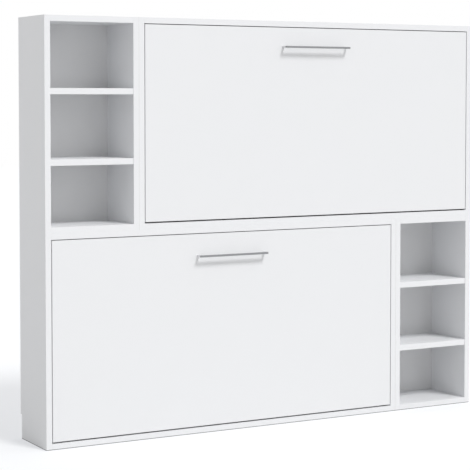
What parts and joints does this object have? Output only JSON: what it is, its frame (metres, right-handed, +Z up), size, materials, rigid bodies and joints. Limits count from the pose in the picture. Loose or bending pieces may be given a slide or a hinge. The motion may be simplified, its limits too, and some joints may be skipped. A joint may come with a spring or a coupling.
{
  "type": "bunk wall bed",
  "caption": "White bunk wall bed: a shallow cabinet whose upper and lower fronts fold down as beds on gas struts, with bar handles and open shelf columns at opposite ends.",
  "frame": {"origin": "on the floor, at the middle of the cabinet's width and of its board depth", "axes": "+X to the right along the cabinet, -Y out of the fronts into the room, +Z up"},
  "size_m": [2.54, 0.375, 2.1],
  "materials": {
    "white_board": "white melamine faced board, satin",
    "handle_steel": "brushed",
    "frame_steel": "grey powder coat",
    "zinc_steel": "zinc plated",
    "slat_birch": "laminated birch, lacquered",
    "cap_plastic": "moulded, fine grain",
    "strut_black": "black lacquer, satin",
    "rod_chrome": "polished",
    "bush_nylon": "moulded",
    "buffer_rubber": "matt",
    "rail_timber": "planed softwood"
  },
  "bodies": {
    "cabinet": {"lower_bed_back": "white_board", "lower_bed_bottom": "white_board", "lower_bed_left_side": "white_board", "lower_bed_right_side": "white_board", "lower_bed_top": "white_board", "lower_column_back": "white_board", "lower_column_bottom": "white_board", "lower_column_high_shelf": "white_board", "lower_column_left_side": "white_board", "lower_column_low_shelf": "white_board", "lower_column_right_side": "white_board", "lower_column_top": "white_board", "lower_door_buffers": "buffer_rubber", "lower_left_pivot_plate": "zinc_steel", "lower_pivot_bushes": "bush_nylon", "lower_right_pivot_plate": "zinc_steel", "lower_wall_rail": "rail_timber", "upper_bed_back": "white_board", "upper_bed_bottom": "white_board", "upper_bed_left_side": "white_board", "upper_bed_right_side": "white_board", "upper_bed_top": "white_board", "upper_column_back": "white_board", "upper_column_bottom": "white_board", "upper_column_high_shelf": "white_board", "upper_column_left_side": "white_board", "upper_column_low_shelf": "white_board", "upper_column_right_side": "white_board", "upper_column_top": "white_board", "upper_door_buffers": "buffer_rubber", "upper_left_pivot_plate": "zinc_steel", "upper_pivot_bushes": "bush_nylon", "upper_right_pivot_plate": "zinc_steel", "upper_wall_rail": "rail_timber"},
    "upper_leaf": {"upper_door": "white_board", "upper_handle": "handle_steel", "upper_long_rails": "frame_steel", "upper_cross_rails": "frame_steel", "upper_slats": "slat_birch", "upper_slat_caps": "cap_plastic", "upper_mattress_hoops": "frame_steel", "upper_left_pivot_bracket": "zinc_steel", "upper_right_pivot_bracket": "zinc_steel"},
    "upper_left_cylinder": {"upper_left_strut_cylinder": "strut_black"},
    "upper_left_rod": {"upper_left_strut_rod": "rod_chrome"},
    "upper_right_cylinder": {"upper_right_strut_cylinder": "strut_black"},
    "upper_right_rod": {"upper_right_strut_rod": "rod_chrome"},
    "lower_leaf": {"lower_door": "white_board", "lower_handle": "handle_steel", "lower_long_rails": "frame_steel", "lower_cross_rails": "frame_steel", "lower_slats": "slat_birch", "lower_slat_caps": "cap_plastic", "lower_mattress_hoops": "frame_steel", "lower_left_pivot_bracket": "zinc_steel", "lower_right_pivot_bracket": "zinc_steel"},
    "lower_left_cylinder": {"lower_left_strut_cylinder": "strut_black"},
    "lower_left_rod": {"lower_left_strut_rod": "rod_chrome"},
    "lower_right_cylinder": {"lower_right_strut_cylinder": "strut_black"},
    "lower_right_rod": {"lower_right_strut_rod": "rod_chrome"}
  },
  "joints": [
    {"name": "upper_fold", "type": "hinge", "parent": "cabinet", "child": "upper_leaf", "pos_m": [0.25, -0.1275, 1.212], "axis": [1, 0, 0], "range_deg": [0, 90], "stiffness_Nm_per_rad": 72, "springref_deg": -17.19},
    {"name": "upper_left_strut_rock", "type": "hinge", "parent": "cabinet", "child": "upper_left_cylinder", "pos_m": [-0.724, -0.0675, 1.427], "axis": [1, 0, 0], "range_deg": [0, 7.23]},
    {"name": "upper_left_rod_slide", "type": "slide", "parent": "upper_left_cylinder", "child": "upper_left_rod", "axis": [0, 0.144, 0.9896], "range_m": [0, 0.0798]},
    {"name": "upper_right_strut_rock", "type": "hinge", "parent": "cabinet", "child": "upper_right_cylinder", "pos_m": [1.224, -0.0675, 1.427], "axis": [1, 0, 0], "range_deg": [0, 7.23]},
    {"name": "upper_right_rod_slide", "type": "slide", "parent": "upper_right_cylinder", "child": "upper_right_rod", "axis": [0, 0.144, 0.9896], "range_m": [0, 0.0798]},
    {"name": "lower_fold", "type": "hinge", "parent": "cabinet", "child": "lower_leaf", "pos_m": [-0.25, -0.1275, 0.162], "axis": [1, 0, 0], "range_deg": [0, 90], "stiffness_Nm_per_rad": 72, "springref_deg": -17.19},
    {"name": "lower_left_strut_rock", "type": "hinge", "parent": "cabinet", "child": "lower_left_cylinder", "pos_m": [-1.224, -0.0675, 0.377], "axis": [1, 0, 0], "range_deg": [0, 7.23]},
    {"name": "lower_left_rod_slide", "type": "slide", "parent": "lower_left_cylinder", "child": "lower_left_rod", "axis": [0, 0.144, 0.9896], "range_m": [0, 0.0798]},
    {"name": "lower_right_strut_rock", "type": "hinge", "parent": "cabinet", "child": "lower_right_cylinder", "pos_m": [0.724, -0.0675, 0.377], "axis": [1, 0, 0], "range_deg": [0, 7.23]},
    {"name": "lower_right_rod_slide", "type": "slide", "parent": "lower_right_cylinder", "child": "lower_right_rod", "axis": [0, 0.144, 0.9896], "range_m": [0, 0.0798]}
  ],
  "couplings": [
    {"joint": "upper_left_strut_rock", "follows": "upper_fold", "ratio": 0.080123},
    {"joint": "upper_left_rod_slide", "follows": "upper_fold", "m_per_rad": 0.050755},
    {"joint": "upper_right_strut_rock", "follows": "upper_fold", "ratio": 0.080123},
    {"joint": "upper_right_rod_slide", "follows": "upper_fold", "m_per_rad": 0.050755},
    {"joint": "lower_left_strut_rock", "follows": "lower_fold", "ratio": 0.080123},
    {"joint": "lower_left_rod_slide", "follows": "lower_fold", "m_per_rad": 0.050755},
    {"joint": "lower_right_strut_rock", "follows": "lower_fold", "ratio": 0.080123},
    {"joint": "lower_right_rod_slide", "follows": "lower_fold", "m_per_rad": 0.050755}
  ]
}
